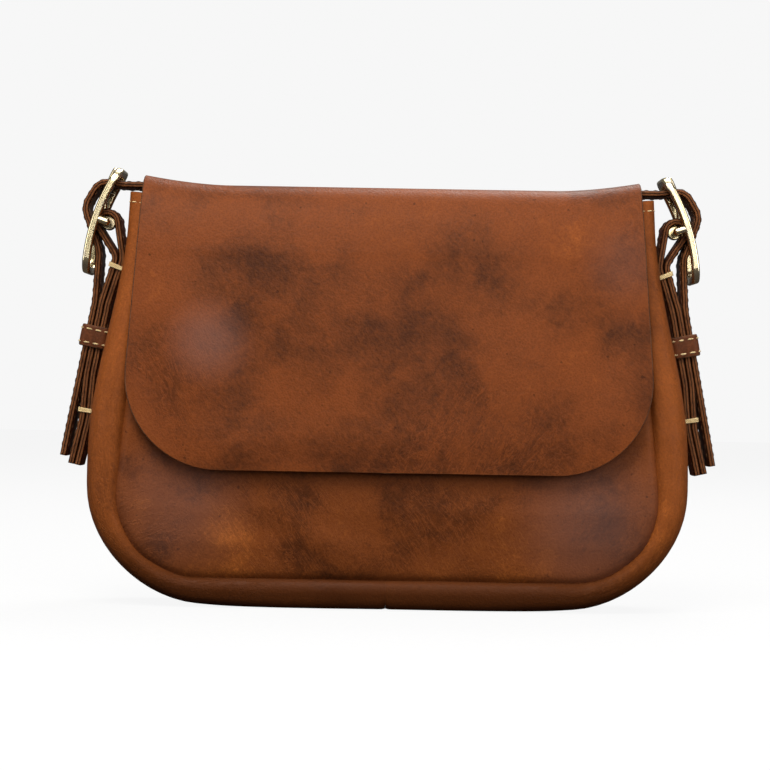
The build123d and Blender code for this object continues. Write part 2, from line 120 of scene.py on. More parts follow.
def make_mesh(name, points, faces, uvs, materials, face_slots=None, smooth=True):
    """A mesh object from millimetre points; uvs is per point, in millimetres."""
    mesh = bpy.data.meshes.new(name)
    mesh.from_pydata((np.asarray(points) * MM).tolist(), [], [list(f) for f in faces])
    layer = mesh.uv_layers.new(name="UVMap")
    corner = np.zeros(len(mesh.loops), int)
    mesh.loops.foreach_get("vertex_index", corner)
    layer.data.foreach_set("uv", (np.asarray(uvs)[corner] * MM).astype(np.float32).ravel())
    for m in materials:
        mesh.materials.append(m)
    if face_slots is not None:
        mesh.polygons.foreach_set("material_index", np.asarray(face_slots, np.int32))
    if smooth:
        mesh.polygons.foreach_set("use_smooth", np.ones(len(mesh.polygons), bool))
    mesh.update()
    obj = bpy.data.objects.new(name, mesh)
    bpy.context.scene.collection.objects.link(obj)
    return obj


def grid_faces(rows, cols, base=0, wrap=False, flip=False):
    """Quads joining a grid of points stored row by row."""
    i, j = np.meshgrid(np.arange(rows - 1), np.arange(cols if wrap else cols - 1), indexing="ij")
    a = i * cols + j
    b = i * cols + (j + 1) % cols
    quads = np.stack([a, b, b + cols, a + cols], -1).reshape(-1, 4) + base
    return quads[:, ::-1] if flip else quads


def normals_of(grid):
    across = np.gradient(grid, axis=1)
    along = np.gradient(grid, axis=0)
    return unit(np.cross(across, along))


def sheet(name, grid, uv, thick, materials, rims="lrtb", round_in=0.5, facing=1.0):
    """A leather or cloth sheet with rounded cut edges. grid is its outer face; facing flips which side is out."""
    rows, cols = grid.shape[:2]
    n = normals_of(grid) * facing
    inner = grid - n * thick
    points = [grid.reshape(-1, 3), inner.reshape(-1, 3)]
    uvs = [uv.reshape(-1, 2), uv.reshape(-1, 2)]
    count = rows * cols
    out_faces, in_faces = grid_faces(rows, cols), grid_faces(rows, cols, count, flip=True)
    if facing < 0:
        out_faces, in_faces = out_faces[:, ::-1], in_faces[:, ::-1]
    faces, slots = [out_faces, in_faces], [np.zeros(len(out_faces)), np.full(len(in_faces), 1)]
    index = np.arange(count).reshape(rows, cols)
    borders = {
        "b": (index[0], grid[0] - grid[1], grid[0], n[0]),
        "t": (index[-1][::-1], (grid[-1] - grid[-2])[::-1], grid[-1][::-1], n[-1][::-1]),
        "l": (index[:, 0][::-1], (grid[:, 0] - grid[:, 1])[::-1], grid[:, 0][::-1], n[:, 0][::-1]),
        "r": (index[:, -1], grid[:, -1] - grid[:, -2], grid[:, -1], n[:, -1]),
    }
    base = 2 * count
    flat_uv = uv.reshape(-1, 2)
    for side in rims:
        ids, away, edge, normal = borders[side]
        away = unit(away)
        strips = [ids]
        for turn in (25, 60, 90, 120, 155):
            a = math.radians(turn)
            lift = (1 - math.cos(a)) / 2 * thick
            bulge = math.sin(a) * thick * round_in * 0.5
            points.append(edge - normal * lift + away * bulge)
            uvs.append(flat_uv[ids] + [0, 0.0])
            strips.append(np.arange(len(ids)) + base)
            base += len(ids)
        strips.append(ids + count)
        for low, high in zip(strips, strips[1:]):
            quad = np.stack([low[:-1], high[:-1], high[1:], low[1:]], -1)
            faces.append(quad if facing > 0 else quad[:, ::-1])
            slots.append(np.full(len(quad), 2))
    return make_mesh(
        name, np.vstack(points), np.vstack(faces), np.vstack(uvs), materials, np.concatenate(slots)
    )


def strip(name, path, width, thick, materials, closed=False, crown=0.25, edge_r=0.9, side_axis=(0, 1, 0)):
    """A flat strap: a rounded rectangle swept along path. UV is (along, round the section)."""
    side = np.array(side_axis, float)
    tangent = np.gradient(path, axis=0)
    if closed:
        tangent[0] = tangent[-1] = path[1] - path[-2]
    normal = unit(np.cross(unit(tangent), side))
    w, t, r = width / 2, thick / 2, edge_r
    section = []
    for cx, cy, first in (
        (w - r, t - r, 0), (-(w - r), t - r, 90), (-(w - r), -(t - r), 180), (w - r, -(t - r), 270)
    ):
        for a in np.linspace(first, first + 90, 5):
            section.append((cx + r * math.cos(math.radians(a)), cy + r * math.sin(math.radians(a))))
        if first in (0, 180):
            sign = 1 if first == 0 else -1
            for s in np.linspace(1, -1, 9)[1:-1]:
                section.append((sign * s * (w - r), sign * (t + crown * (1 - s * s))))
    section = np.array(section)
    grid = path[:, None] + section[None, :, :1] * side + section[None, :, 1:] * normal[:, None]
    rows, cols = grid.shape[:2]
    run = arc(path)
    mesh_faces = [list(f) for f in grid_faces(rows, cols, wrap=True)]
    if not closed:
        mesh_faces += [list(range(cols))[::-1], [rows * cols - cols + k for k in range(cols)]]
    edge_cols = np.abs(section[:, 0]) > w - r - 1e-6
    slots = np.tile(np.where(edge_cols & np.roll(edge_cols, -1), 1, 0), rows - 1)
    if not closed:
        slots = np.concatenate([slots, [1, 1]])
    round_section = np.where(edge_cols, section[:, 1], section[:, 0])
    uv = np.stack([np.repeat(run[:, None], cols, 1), np.repeat(round_section[None], rows, 0)], -1)
    return make_mesh(name, grid.reshape(-1, 3), mesh_faces, uv.reshape(-1, 2), materials, slots)


def stitches(name, lines, material, pitch=4.2, length=3.1, width=0.62, height=0.42, sink=0.12):
    """Rows of saddle stitches, one to each pitch. lines is a list of (points, outward normals)."""
    ring, caps = 6, 5
    points, faces, base = [], [], 0
    for line, normal in lines:
        run = arc(line)
        total = int(run[-1] // pitch)
        spare = (run[-1] - (total - 1) * pitch) / 2
        for k in range(total):
            at = spare + k * pitch
            mid = np.array([np.interp(at, run, line[:, c]) for c in range(3)])
            ahead = np.array([np.interp(min(at + 1, run[-1]), run, line[:, c]) for c in range(3)])
            behind = np.array([np.interp(max(at - 1, 0), run, line[:, c]) for c in range(3)])
            up = unit(np.array([np.interp(at, run, normal[:, c]) for c in range(3)]))
            x = unit(ahead - behind)
            z = unit(up - x * np.dot(up, x))
            y = np.cross(z, x)
            for i, f in enumerate(np.linspace(-1, 1, caps)):
                fat = math.sqrt(max(0.0, 1 - abs(f) ** 2.6)) * 0.9 + 0.1
                drop = -0.35 * f * f
                for j in range(ring):
                    a = 2 * math.pi * j / ring
                    points.append(mid + x * f * length / 2 + y * math.cos(a) * width / 2 * fat
                        + z * (math.sin(a) * height / 2 * fat + height / 2 - sink + drop))
            for i in range(caps - 1):
                for j in range(ring):
                    a, b = base + i * ring + j, base + i * ring + (j + 1) % ring
                    faces.append((a, b, b + ring, a + ring))
            base += ring * caps
    uvs = np.array(points)[:, [0, 2]]
    return make_mesh(name, points, faces, uvs, [material])


def tube(name, paths, radius, material, ring=8):
    """Round thread or wire along each path."""
    points, faces, base = [], [], 0
    for path in paths:
        tangent = unit(np.gradient(path, axis=0))
        seed = np.array([0.3, 0.9, 0.2])
        n1 = unit(np.cross(tangent, seed))
        n2 = np.cross(tangent, n1)
        for k, p in enumerate(path):
            fat = radius * (0.35 if k in (0, len(path) - 1) else 1.0)
            for j in range(ring):
                a = 2 * math.pi * j / ring
                points.append(p + n1[k] * math.cos(a) * fat + n2[k] * math.sin(a) * fat)
        faces += grid_faces(len(path), ring, base, wrap=True).tolist()
        base += len(path) * ring
    return make_mesh(name, points, faces, np.array(points)[:, [0, 2]], [material])


# ---- materials -----------------------------------------------------------------------------------------


class Surface:
    """A Principled material built node by node."""

    def __init__(self, name):
        self.material = bpy.data.materials.new(name)
        self.material.use_nodes = True
        self.tree = self.material.node_tree
        self.bsdf = self.tree.nodes["Principled BSDF"]
        self.uv = self.add("ShaderNodeUVMap").outputs[0]

    def add(self, kind, sources=(), **settings):
        """A node; sources maps input index or name to a value or a socket."""
        node = self.tree.nodes.new(kind)
        for key, value in settings.items():
            setattr(node, key, value)
        for key, value in dict(sources).items():
            self.put(node.inputs[key], value)
        return node

    def put(self, socket, value):
        if isinstance(value, bpy.types.NodeSocket):
            self.tree.links.new(value, socket)
        else:
            socket.default_value = value

    def set(self, **inputs):
        for key, value in inputs.items():
            self.put(self.bsdf.inputs[key.replace("_", " ")], value)

    def math(self, operation, *values, clamp=False):
        return self.add("ShaderNodeMath", enumerate(values), operation=operation, use_clamp=clamp).outputs[0]

    def placed(self, offset=(0, 0, 0), scale=(1, 1, 1), turn=0.0, source=None):
        start = self.add("ShaderNodeMapping", {0: source or self.uv, 1: offset, 2: (0, 0, turn)}).outputs[0]
        return self.add("ShaderNodeMapping", {0: start, 3: scale}).outputs[0]

    def noise(self, vector, scale, detail=3.0, rough=0.55, distortion=0.0):
        node = self.add(
            "ShaderNodeTexNoise",
            {"Vector": vector, "Scale": scale, "Detail": detail, "Roughness": rough, "Distortion": distortion}
        )
        return node.outputs[0]

    def voronoi(self, vector, scale, feature="F1"):
        node = self.add("ShaderNodeTexVoronoi", {"Vector": vector, "Scale": scale}, feature=feature)
        return node.outputs[0]

    def span(self, value, low, high, to_low=0.0, to_high=1.0, smooth=True):
        node = self.add("ShaderNodeMapRange", {0: value, 1: low, 2: high, 3: to_low, 4: to_high})
        node.interpolation_type = "SMOOTHSTEP" if smooth else "LINEAR"
        return node.outputs[0]

    def mix(self, share, a, b, blend="MIX"):
        node = self.add("ShaderNodeMix", data_type="RGBA", blend_type=blend)
        for socket, value in ((node.inputs[0], share), (node.inputs[6], a), (node.inputs[7], b)):
            self.put(
                socket, value if isinstance(value, (bpy.types.NodeSocket, float, int)) else (*value, 1.0)
            )
        return node.outputs[2]

    def ramp(self, value, stops):
        node = self.add("ShaderNodeValToRGB", {0: value})
        line = node.color_ramp
        line.interpolation = "EASE"
        for _ in stops[2:]:
            line.elements.new(0.5)
        for element, (at, colour) in zip(line.elements, stops):
            element.position = at
            element.color = (*colour, 1.0)
        return node.outputs[0]

    def bump(self, height, distance, strength=1.0, below=None):
        sources = {"Height": height, "Distance": distance, "Strength": strength}
        if below is not None:
            sources["Normal"] = below
        return self.add("ShaderNodeBump", sources).outputs[0]


def leather(
    name, offset, dark, mid, light, rough=0.42, patches=(), creases=(), grain=1.0, mottle=1.0, bias=0.0,
    painted_sheen=(), painted_shade_low=0.0
):
    """Waxed pull-up leather. patches and the spots of painted purple-grey highlight are (x, y, radius, amount) in
    millimetres, and creases (x, y, radius, turn). The shade amount darkens the lowest part of the surface as
    painted shade."""
    s = Surface(name)
    here = s.placed(offset)
    broad = s.noise(here, 15, 3, 0.45, 0.3)
    fine = s.noise(s.placed((offset[0] + 0.7, offset[1], 0.3)), 62, 4, 0.55, 0.5)
    tone = s.math("ADD", s.math("MULTIPLY", broad, 0.66 * mottle), s.math("MULTIPLY", fine, 0.34 * mottle))
    tone = s.math("ADD", tone, 0.5 - 0.5 * mottle + bias)
    for x, y, radius, amount in patches:
        wobble = s.math("MULTIPLY", s.math("SUBTRACT", s.noise(here, 45, 3, 0.6), 0.5), radius * 1.6 * MM)
        away = s.add(
            "ShaderNodeVectorMath", {0: s.uv, 1: (x * MM, y * MM, 0)}, operation="DISTANCE"
        ).outputs["Value"]
        tone = s.math("ADD", tone, s.span(s.math("ADD", away, wobble), 0.0, radius * MM, amount, 0.0))
    fibre = s.noise(s.placed(offset, (1, 0.5, 1), 0.7), 620, 4, 0.72, 0.6)
    specks = s.span(s.noise(here, 330, 2, 0.4), 0.70, 0.78)
    pores = s.voronoi(here, 1150)
    crease_total = None
    for x, y, radius, turn in creases:
        long_way = s.noise(s.placed(offset, (1, 0.22, 1), turn), 190, 5, 0.66, 1.6)
        line = s.span(s.math("ABSOLUTE", s.math("SUBTRACT", long_way, 0.5)), 0.0, 0.045, 1.0, 0.0)
        away = s.add(
            "ShaderNodeVectorMath", {0: s.uv, 1: (x * MM, y * MM, 0)}, operation="DISTANCE"
        ).outputs["Value"]
        line = s.math("MULTIPLY", line, s.span(away, 0.15 * radius * MM, radius * MM, 1.0, 0.0))
        crease_total = line if crease_total is None else s.math("MAXIMUM", crease_total, line)
    tone = s.math("ADD", tone, s.math("MULTIPLY", s.math("SUBTRACT", fibre, 0.5), 0.20 * grain))
    if crease_total is not None:
        tone = s.math("ADD", tone, s.math("MULTIPLY", crease_total, 0.07))
    deep = tuple(c * 0.45 for c in dark)
    colour = s.ramp(tone, [(0.10, deep), (0.32, dark), (0.53, mid), (0.76, light)])
    colour = s.mix(s.math("MULTIPLY", specks, 0.55), colour, deep)
    shade = s.span(pores, 0.0, 0.8, 0.82, 1.08, smooth=False)
    colour = s.mix(
        1.0, colour, s.add("ShaderNodeCombineColor", {0: shade, 1: shade, 2: shade}).outputs[0], "MULTIPLY"
    )
    # Painted highlight: spots of purple-grey sheen mixed into the colour in place of lamp glints.
    for x, y, radius, amount in painted_sheen:
        away = s.add(
            "ShaderNodeVectorMath", {0: s.uv, 1: (x * MM, y * MM, 0)}, operation="DISTANCE"
        ).outputs["Value"]
        colour = s.mix(
            s.span(away, 0.1 * radius * MM, radius * MM, amount, 0.0), colour, (0.165, 0.095, 0.082)
        )
    # Painted shade: the colour turns towards the darkest ramp colour near the bottom, fully at 6 mm height and
    # gone by 45 mm.
    if painted_shade_low:
        height = s.add(
            "ShaderNodeSeparateXYZ", {0: s.add("ShaderNodeNewGeometry").outputs["Position"]}
        ).outputs[2]
        colour = s.mix(s.span(height, 0.006, 0.045, painted_shade_low, 0.0), colour, deep)
    gloss = s.math(
        "ADD", s.span(tone, 0.3, 0.75, rough - 0.05, rough + 0.12),
        s.math("MULTIPLY", s.noise(here, 150, 3), 0.10)
    )
    grain_bump = s.bump(pores, 0.00016 * grain, 0.55)
    fibre_bump = s.bump(fibre, 0.00022 * grain, 0.5, grain_bump)
    shape = s.bump(s.noise(here, 95, 4, 0.55, 0.5), 0.0006, 0.5, fibre_bump)
    if crease_total is not None:
        shape = s.bump(crease_total, 0.0003, 0.45, shape)
    s.set(
        Base_Color=colour, Roughness=gloss, Normal=shape, Specular_IOR_Level=0.10,
        Specular_Tint=(1.0, 0.72, 0.60, 1.0)
    )
    return s.material


def cut_edge(name, offset, layers, dark, light):
    """The cut edge of leather. layers are glue lines, in millimetres from the middle of a strap's thickness."""
    s = Surface(name)
    here = s.placed(offset, (0.35, 1, 1))
    streak = s.noise(here, 1600, 4, 0.65)
    slow = s.noise(s.placed(offset), 130, 3, 0.6)
    tone = s.math("ADD", s.math("MULTIPLY", streak, 0.6), s.math("MULTIPLY", slow, 0.4))
    colour = s.ramp(tone, [(0.30, dark), (0.68, light)])
    height = streak
    if layers:
        across = s.math("MULTIPLY", s.add("ShaderNodeSeparateXYZ", {0: s.uv}).outputs[1], 1 / MM)
        gap = None
        for at, width in layers:
            wave = s.math("MULTIPLY", s.math("SUBTRACT", s.noise(here, 90, 2), 0.5), 0.35)
            off = s.math("ABSOLUTE", s.math("SUBTRACT", s.math("ADD", across, wave), at))
            line = s.span(off, width * 0.4, width, 1.0, 0.0)
            gap = line if gap is None else s.math("MAXIMUM", gap, line)
        colour = s.mix(s.math("MULTIPLY", gap, 0.9), colour, tuple(c * 0.18 for c in dark))
        height = s.math("SUBTRACT", s.math("MULTIPLY", streak, 0.3), gap)
    s.set(
        Base_Color=colour, Roughness=s.span(slow, 0.3, 0.7, 0.42, 0.62), Normal=s.bump(height, 0.0004, 0.8),
        Specular_IOR_Level=0.14, Specular_Tint=(1.0, 0.72, 0.60, 1.0)
    )
    return s.material


def suede(name, dark, light):
    """The inner, flesh side of the leather."""
    s = Surface(name)
    nap = s.noise(s.uv, 900, 5, 0.75)
    slow = s.noise(s.uv, 40, 4, 0.6, 0.8)
    colour = s.ramp(
        s.math("ADD", s.math("MULTIPLY", nap, 0.5), s.math("MULTIPLY", slow, 0.5)),
        [(0.3, dark), (0.7, light)]
    )
    s.set(
        Base_Color=colour, Roughness=0.93, Normal=s.bump(nap, 0.0004, 0.9), Specular_IOR_Level=0.2,
        Sheen_Weight=0.25, Sheen_Roughness=0.5
    )
    return s.material


def cloth(name, dark, light, thread_mm=0.55):
    """Plain weave: two crossing sets of threads."""
    s = Surface(name)
    scale = 1 / (thread_mm * MM)
    x, y = s.add("ShaderNodeSeparateXYZ", {0: s.placed((0, 0, 0), (scale, scale, 1))}).outputs[:2]
    warp = s.math("SINE", s.math("MULTIPLY", x, math.pi))
    weft = s.math("SINE", s.math("MULTIPLY", y, math.pi))
    over = s.math("MULTIPLY", warp, weft)
    height = s.math(
        "ABSOLUTE",
        s.math("ADD", s.math("MULTIPLY", over, 0.6), s.math("MULTIPLY", s.math("ABSOLUTE", warp), 0.5))
    )
    slub = s.noise(s.placed((0, 0, 0), (0.12, 1, 1)), 900, 3, 0.7)
    tone = s.math("ADD", s.math("MULTIPLY", height, 0.45), s.math("MULTIPLY", slub, 0.55))
    colour = s.ramp(tone, [(0.2, dark), (0.75, light)])
    s.set(
        Base_Color=colour, Roughness=0.9, Normal=s.bump(height, 0.00025, 0.7), Specular_IOR_Level=0.2,
        Sheen_Weight=0.15
    )
    return s.material


def thread_finish(name, dark, light):
    """Waxed twisted thread."""
    s = Surface(name)
    twist = s.add(
        "ShaderNodeTexWave",
        {"Vector": s.placed((0, 0, 0), (1, 1, 1), 0.7), "Scale": 520.0, "Distortion": 1.5, "Detail": 1.0}
    ).outputs[1]
    wear = s.noise(s.uv, 260, 3, 0.6)
    colour = s.ramp(
        s.math("ADD", s.math("MULTIPLY", twist, 0.35), s.math("MULTIPLY", wear, 0.65)),
        [(0.28, dark), (0.6, light)]
    )
    s.set(Base_Color=colour, Roughness=0.62, Normal=s.bump(twist, 0.00018, 0.8), Specular_IOR_Level=0.35)
    return s.material


def metal(name, colour, worn, rough, smear=0.12):
    """Cast and polished metal with handling marks. Uses the part's own position, so it needs no UV."""
    s = Surface(name)
    place = s.add("ShaderNodeTexCoord").outputs["Object"]
    cloud = s.noise(place, 120, 4, 0.6, 0.4)
    scratch = s.noise(s.placed((0, 0, 0), (1, 0.06, 1), 0.5, place), 2600, 3, 0.7)
    base = s.ramp(cloud, [(0.34, worn), (0.56, colour)])
    hairline = s.span(scratch, 0.62, 0.72)
    s.set(
        Base_Color=base, Metallic=1.0,
        Normal=s.bump(s.math("ADD", scratch, s.math("MULTIPLY", cloud, 2.0)), 0.00005, 0.35)
    )
    s.set(Roughness=s.math(
        "ADD", s.span(cloud, 0.35, 0.65, rough + smear, rough), s.math("MULTIPLY", hairline, 0.12)
    ))
    return s.material


# Painted highlight: the two sheen spots on the front panel sit at its lower corners.
BODY = leather("body_leather", (0.31, 0.72, 0.0), (0.048, 0.0145, 0.0055), (0.165, 0.044, 0.0105), (0.35,
    0.100, 0.018), rough=0.36, mottle=0.85,
    patches=[
        (-62, 38, 26, 0.12), (-20, 48, 30, 0.10), (-98, 30, 20, -0.08), (-30, 22, 30, -0.10),
        (40, 40, 28, 0.05), (88, 44, 24, -0.10), (60, 24, 36, 0.06), (118, 60, 20, 0.05)
    ],
    painted_sheen=[(-92, 48, 40, 0.26), (92, 42, 44, 0.34)], creases=[(-48, 40, 62, -0.62), (30, 34, 50, -0.55),
        (-112, 34, 30, 1.25)])
# Painted highlight: purple-grey sheen spots on the left and right of the flap.
FLAP = leather("flap_leather", (0.11, 0.37, 0.0), (0.045, 0.0135, 0.0050), (0.160, 0.0405, 0.0095), (0.35,
    0.093, 0.017), rough=0.38, mottle=0.7, bias=-0.035,
    patches=[
        (-70, 236, 36, 0.05), (0, 234, 44, 0.05), (70, 236, 40, 0.06), (92, 290, 46, 0.06),
        (-70, 268, 46, -0.05)
    ],
    painted_sheen=[(-81, 291, 24, 0.34), (104, 252, 24, 0.16)], creases=[(-99, 308, 34, 0.5), (40, 340, 60, -0.5)])
# Painted shade: the gussets darken towards the bottom.
GUSSET = leather("gusset_leather", (0.53, 0.19, 0.0), (0.085, 0.0235, 0.0070), (0.22, 0.059, 0.0125), (0.40,
    0.112, 0.020), rough=0.38, mottle=0.6, bias=0.01, painted_shade_low=0.85,
    creases=[(0, 140, 140, 0.1), (400, 140, 140, 0.1)])
STRAP = leather(
    "strap_leather", (0.87, 0.43, 0.0), (0.05, 0.018, 0.009), (0.14, 0.042, 0.016), (0.27, 0.08, 0.023),
    rough=0.40, mottle=0.8
)
RAW = cut_edge("raw_edge", (0.2, 0.1, 0), [], (0.03, 0.012, 0.006), (0.16, 0.065, 0.03))
PLIES = cut_edge(
    "ply_edge", (0.4, 0.6, 0), [(0.0, 0.30), (1.3, 0.32), (-1.3, 0.32)], (0.040, 0.013, 0.0055),
    (0.215, 0.078, 0.026)
)
FLESH = suede("flesh_side", (0.10, 0.05, 0.026), (0.25, 0.135, 0.07))
CANVAS = cloth("lining_cloth", (0.16, 0.11, 0.06), (0.42, 0.33, 0.21))
TAPE = cloth("zip_tape_cloth", (0.03, 0.018, 0.011), (0.11, 0.07, 0.045), 0.4)
THREAD = thread_finish("cream_thread", (0.42, 0.27, 0.10), (0.86, 0.68, 0.36))
BROWN_THREAD = thread_finish("brown_thread", (0.05, 0.022, 0.01), (0.15, 0.07, 0.03))
BRASS = metal("buckle_brass", (0.86, 0.72, 0.43), (0.60, 0.52, 0.38), 0.16)
SNAP_METAL = metal("snap_metal", (0.70, 0.56, 0.30), (0.35, 0.28, 0.16), 0.28)
ZIP_METAL = metal("zip_metal", (0.68, 0.54, 0.28), (0.34, 0.26, 0.14), 0.26)

# ---- where things are, read from the frame ---------------------------------------------------------------

front_low, front_high = box_mm("front_panel")
flap_low = box_mm("flap_front")[0]
top_low = box_mm("flap_top")[0]
strap_low, strap_high = box_mm("shoulder_strap")
keeper_low, keeper_high = box_mm("keeper_left")

SEAM_Z = front_low[2]
PANEL_TOP = front_high[2]
CORNER_X = front_high[0] + 4.0
PANEL_TOP_X = CORNER_X - 17.2
CORNER_R = 38.0
FLAP_BOTTOM = flap_low[2]
FLAP_TOP = top_low[2] + 2.2

DEPTHS = np.array([13, 30, 45, 62, 80, 102, 125, 155, 186])
FRONT_Y = np.array([30.0, 33.2, 35.0, 35.5, 35.5, 33.6, 30.5, 26.2, 21.5])
BACK_Y = np.array([29.0, 31.0, 32.0, 32.4, 32.0, 30.3, 28.0, 24.5, 20.5])


def depth(z, table):
    return np.interp(z, DEPTHS, table)


def blurred(values, width):
    """A row of values smoothed, with its ends held."""
    if width < 1:
        return values
    reach = int(3 * width)
    kernel = np.exp(-0.5 * (np.arange(-reach, reach + 1) / width) ** 2)
    padded = np.concatenate([np.full(reach, values[0]), values, np.full(reach, values[-1])])
    return np.convolve(padded, kernel / kernel.sum(), "valid")


def seam_line(inset=0.0, step=1.2):
    """The seam from the bottom centre up the left side, in X and Z."""
    corner, top = (-CORNER_X + inset, SEAM_Z + inset), (-PANEL_TOP_X + inset, PANEL_TOP)
    return rounded([(0, SEAM_Z + inset), corner, top], [CORNER_R - inset], step)


def soft_bump(x, z, cx, cz, rx, rz, height, turn=0.0):
    dx, dz = x - cx, z - cz
    a = dx * math.cos(turn) + dz * math.sin(turn)
    b = -dx * math.sin(turn) + dz * math.cos(turn)
    return height * np.exp(-((a / rx) ** 2) - (b / rz) ** 2)


def edge_distance(x, z, line):
    """Distance of every point to a polyline in the XZ plane and its mirror image."""
    flat = np.stack([-np.abs(x).ravel(), z.ravel()], 1)
    best = np.full(len(flat), 1e9)
    for k in range(0, len(line), 1):
        best = np.minimum(best, np.hypot(flat[:, 0] - line[k, 0], flat[:, 1] - line[k, 1]))
    return best.reshape(x.shape)


# ---- body panels -----------------------------------------------------------------------------------------


def panel_grid(table, side, dents, tuck=2.3, cols=190):
    """A pillowed body panel: rows follow the seam outline, edges turn in to the seam."""
    line = seam_line(0.2)
    start = int(np.argmax(np.gradient(line[:, 1]) > 0.01 * 1.2))
    rows = line[max(start - 1, 0) :]
    rows[0, 1] = SEAM_Z + 0.2
    u = np.sin(np.linspace(-1, 1, cols) * math.pi / 2 * 0.92) / math.sin(math.pi / 2 * 0.92)
    x = rows[:, :1] * -u[None]
    z = np.repeat(rows[:, 1:], cols, 1)
    d = edge_distance(x, z, seam_line(0.2, 1.0))
    y = depth(z, table) - tuck * np.exp(-((d / 1.9) ** 1.3)) - 1.2 * np.exp(-d / 10.0)
    for dent in dents:
        y = y + soft_bump(x, z, *dent)
    grid = np.stack([x, side * y, z], -1)
    return grid, np.stack([x, z], -1)


front_dents = [
    (-110, 42, 5, 24, 1.0, -0.08), (-99, 40, 5.5, 22, -1.1, -0.1), (-84, 40, 8, 20, 1.0, -0.2), (-62, 42,
    22, 12, -0.9, -0.6),
    (-34, 34, 34, 7, 0.9, -0.55), (6, 30, 30, 8, -0.6, -0.4), (40, 44, 30, 9, 0.6, 0.1), (70, 26, 30, 7,
    -0.5, -0.2),
    (92, 42, 12, 20, 1.2, 0.2), (106, 40, 5, 22, -0.8, 0.05), (114, 46, 4.5, 24, 0.9, 0.03), (0, 60, 60, 20,
    0.8, 0.0),
]
grid, uv = panel_grid(FRONT_Y, -1, front_dents)
front = sheet("front_leather", grid, uv, 1.6, [BODY, FLESH, RAW], rims="t", facing=1.0)
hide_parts("front_panel")
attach(front, "bag")

# ---- gussets ---------------------------------------------------------------------------------------------

SHARES = [0.0, 0.1, 0.2, 0.301, 0.358, 0.415, 0.471, 0.528, 0.57, 0.62, 0.67, 0.73, 0.80, 0.87, 0.93, 1.0]
BULGES = [13.4, 13.4, 13.4, 12.2, 9.9, 9.4, 11.2, 13.6, 14.4, 14.9, 14.4, 13.2, 11.2, 9.4, 8.0, 10.4]
FOLDS = [0.0, 0.0, 0.0, 0.0, 0.0, 0.0, 0.0, 0.2, 0.6, 1.6, 2.2, 2.4, 2.2, 2.2, 2.0, 2.0]


def gusset_grid(mirror_x):
    line = respaced(seam_line(), count=190)
    tangent = unit(np.gradient(line, axis=0))
    away = np.stack([-tangent[:, 1], tangent[:, 0]], 1)
    share = np.linspace(0, 1, len(line))
    bulge, fold = blurred(np.interp(share, SHARES, BULGES), 7), blurred(np.interp(share, SHARES, FOLDS), 7)
    run = arc(line)
    out, uv = [], []
    for k, (x, z) in enumerate(line):
        front_d, back_d = depth(z, FRONT_Y), depth(z, BACK_Y)
        b = bulge[k] + 0.35 * math.sin(run[k] / 17.0) * math.sin(run[k] / 41.0)
        b -= 1.0 * math.exp(-((run[k] / 1.1) ** 2))
        f = fold[k]

        def half(d):
            return [
                (-1.6, d - 3.6), (-0.3, d - 2.5), (0.7, d - 1.3), (0.22 * b, d - 0.45), (0.45 * b, 0.98 * d),
                (0.80 * b, 0.91 * d), (b, 0.745 * d), (b - 0.5 * f, 0.57 * d), (b - 0.97 * f, 0.38 * d),
                (b - f, 0.18 * d)
            ]

        points = [(n, -y) for n, y in half(front_d)] + [(b - f, 0.0)] + half(back_d)[::-1]
        section = respaced(smooth_path(points, 0.8), count=90)
        n, y = section[:, 0], section[:, 1]
        row = np.stack([x + away[k, 0] * n, y, z + away[k, 1] * n], 1)
        out.append(row)
        uv.append(np.stack([arc(section) - arc(section)[-1] / 2, np.full(90, run[k])], 1))
    grid, uv = np.array(out), np.array(uv)
    low = grid[..., 2]
    grid[..., 2] = np.where(low < 0.9, 0.06 + 0.84 * np.exp((low - 0.9) / 0.84), low)
    grid[0, :, 0] = np.minimum(grid[0, :, 0], -0.02)
    if mirror_x:
        grid = grid * [-1, 1, 1]
        uv = uv * [-1, 1] + [0.4 / MM, 0]
    return grid, uv


for side, flip in (("left", False), ("right", True)):
    grid, uv = gusset_grid(flip)
    piece = sheet(
        f"gusset_leather_{side}", grid, uv, 1.6, [GUSSET, FLESH, RAW], rims="t", facing=1.0 if flip else -1.0
    )
    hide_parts(f"gusset_{side}")
    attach(piece, "bag")
    hem_row = int(0.985 * (len(grid) - 1))
    hem = grid[hem_row]
    toward = normals_of(grid)[hem_row] * (1.0 if flip else -1.0)
    hem_stitch = stitches(f"gusset_hem_stitches_{side}", [(hem[4:86], toward[4:86])], THREAD)
    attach(hem_stitch, "bag")

# ---- back panel and flap: one sheet, in two lengths so that each bends over one fold -----------------------

back_line = seam_line(0.2)
corner_start = int(np.argmax(np.gradient(back_line[:, 1]) > 0.012)) - 1
back_rows = back_line[max(corner_start, 0) :]
back_rows = back_rows[back_rows[:, 1] < 184.5]
turn_over = smooth_path(
    [(20.8, 184.5), (20.3, 187.4), (18.9, 190.0), (16.2, FLAP_TOP), (11, FLAP_TOP), (0, FLAP_TOP), (-9,
        FLAP_TOP), (-15.5, FLAP_TOP - 0.3), (-20.5, FLAP_TOP - 1.9),
     (-24.6, 186.0), (-27.6, 181.0), (-30.6, 172.0), (-33.4, 160.0)], 1.1)
HANG = 7.4  # outer face of the flap in front of the front panel's face
flap_side = rounded([(-40, FLAP_BOTTOM), (-120.0, FLAP_BOTTOM), (-112.2, 184.0)], [42.0], 1.2)
flap_side = flap_side[int(np.argmax(flap_side[:, 1] > FLAP_BOTTOM + 0.004)) - 1 :]
flap_rows = flap_side[flap_side[:, 1] < 159.5][::-1]

